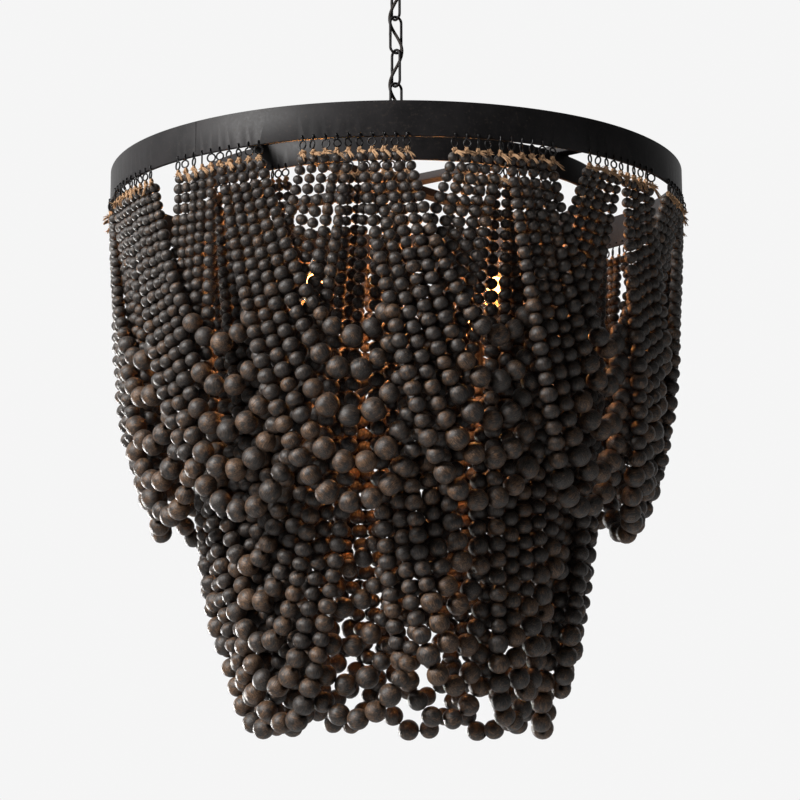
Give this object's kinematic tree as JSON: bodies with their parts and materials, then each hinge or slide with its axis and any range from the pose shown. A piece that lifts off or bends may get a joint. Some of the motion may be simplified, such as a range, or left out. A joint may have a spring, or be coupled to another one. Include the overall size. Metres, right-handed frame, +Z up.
{
  "type": "beaded chandelier",
  "caption": "Tiered chandelier: strings of graded dark wooden beads hang in nested swags from black metal rings round a candle lamp cluster, on a chain with a canopy.",
  "frame": {"origin": "on the ceiling face, on the axis of the chain, at the middle of the strap's top", "axes": "+Z up; -Y towards the viewer of the picture; +X to the viewer's right"},
  "size_m": [0.6137, 0.6143, 0.8631],
  "materials": {
    "steel": "plain zinc plated steel",
    "black_metal": "satin black paint",
    "flex": "dark cloth covered flex",
    "candle_sleeve": "dark painted sleeve",
    "bulb_glass": "clear glass, lit warm",
    "jute": "tied jute cord with frayed ends",
    "brass_base": "plain brass screw base",
    "bead_wood": "black brown stained wood, dry satin"
  },
  "bodies": {
    "ceiling": {"crossbar": "steel", "nipple": "steel", "collar_loop": "black_metal", "lamp_cord": "flex"},
    "canopy": {"canopy": "black_metal"},
    "ring_nut": {"ring_nut": "black_metal"},
    "chain_link_1": {"chain_link_1": "black_metal"},
    "chain_link_2": {"chain_link_2": "black_metal"},
    "chain_link_3": {"chain_link_3": "black_metal"},
    "chain_link_4": {"chain_link_4": "black_metal"},
    "chain_link_5": {"chain_link_5": "black_metal"},
    "fixture": {"hub_loop": "black_metal", "hub": "black_metal", "arm_1": "black_metal", "arm_2": "black_metal", "arm_3": "black_metal", "arm_4": "black_metal", "outer_ring": "black_metal", "inner_ring": "black_metal", "stem": "black_metal", "lower_hub": "black_metal", "socket_arm_1": "black_metal", "socket_arm_2": "black_metal", "socket_arm_3": "black_metal", "socket_arm_4": "black_metal", "candle_1": "candle_sleeve", "candle_2": "candle_sleeve", "candle_3": "candle_sleeve", "candle_4": "candle_sleeve", "outer_swag_01": "bead_wood", "outer_swag_02": "bead_wood", "outer_swag_03": "bead_wood", "outer_swag_04": "bead_wood", "outer_swag_05": "bead_wood", "outer_swag_06": "bead_wood", "outer_swag_07": "bead_wood", "outer_swag_08": "bead_wood", "outer_swag_09": "bead_wood", "outer_swag_10": "bead_wood", "outer_swag_11": "bead_wood", "outer_swag_12": "bead_wood", "outer_swag_13": "bead_wood", "lower_swag_01": "bead_wood", "lower_swag_02": "bead_wood", "lower_swag_03": "bead_wood", "lower_swag_04": "bead_wood", "lower_swag_05": "bead_wood", "lower_swag_06": "bead_wood", "lower_swag_07": "bead_wood", "lower_swag_08": "bead_wood", "lower_swag_09": "bead_wood", "lower_swag_10": "bead_wood", "lower_swag_11": "bead_wood", "lower_swag_12": "bead_wood"},
    "bulb_1": {"bulb_1": "bulb_glass"},
    "bulb_2": {"bulb_2": "bulb_glass"},
    "bulb_3": {"bulb_3": "bulb_glass"},
    "bulb_4": {"bulb_4": "bulb_glass"}
  },
  "joints": [
    {"name": "canopy_drop", "type": "slide", "parent": "ceiling", "child": "canopy", "axis": [0, 0, -1], "range_m": [0, 0.03]},
    {"name": "ring_nut_turn", "type": "hinge", "parent": "canopy", "child": "ring_nut", "pos_m": [0, 0, -0.0313], "axis": [0, 0, 1], "continuous": true},
    {"name": "link_1_swing", "type": "hinge", "parent": "ceiling", "child": "chain_link_1", "pos_m": [0, 0, -0.06415], "axis": [0.9063, 0.4226, 0], "range_deg": [-10, 10], "deforming": ["lamp_cord"]},
    {"name": "link_2_swing", "type": "hinge", "parent": "chain_link_1", "child": "chain_link_2", "pos_m": [0, 0, -0.10105], "axis": [0.6428, -0.766, 0], "range_deg": [-10, 10], "deforming": ["lamp_cord"]},
    {"name": "link_3_swing", "type": "hinge", "parent": "chain_link_2", "child": "chain_link_3", "pos_m": [0, 0, -0.13845], "axis": [0.9063, 0.4226, 0], "range_deg": [-10, 10], "deforming": ["lamp_cord"]},
    {"name": "link_4_swing", "type": "hinge", "parent": "chain_link_3", "child": "chain_link_4", "pos_m": [0, 0, -0.17585], "axis": [0.6428, -0.766, 0], "range_deg": [-10, 10], "deforming": ["lamp_cord"]},
    {"name": "link_5_swing", "type": "hinge", "parent": "chain_link_4", "child": "chain_link_5", "pos_m": [0, 0, -0.21325], "axis": [0.9063, 0.4226, 0], "range_deg": [-10, 10], "deforming": ["lamp_cord"]},
    {"name": "fixture_swing", "type": "hinge", "parent": "chain_link_5", "child": "fixture", "pos_m": [0, 0, -0.25065], "axis": [0.6428, -0.766, 0], "range_deg": [-10, 10], "deforming": ["lamp_cord"]},
    {"name": "bulb_1_turn", "type": "hinge", "parent": "fixture", "child": "bulb_1", "pos_m": [0.10258, -0.08307, -0.438], "axis": [0, 0, 1], "range_deg": [0, 720]},
    {"name": "bulb_2_turn", "type": "hinge", "parent": "fixture", "child": "bulb_2", "pos_m": [0.08307, 0.10258, -0.438], "axis": [0, 0, 1], "range_deg": [0, 720]},
    {"name": "bulb_3_turn", "type": "hinge", "parent": "fixture", "child": "bulb_3", "pos_m": [-0.10258, 0.08307, -0.438], "axis": [0, 0, 1], "range_deg": [0, 720]},
    {"name": "bulb_4_turn", "type": "hinge", "parent": "fixture", "child": "bulb_4", "pos_m": [-0.08307, -0.10258, -0.438], "axis": [0, 0, 1], "range_deg": [0, 720]}
  ]
}
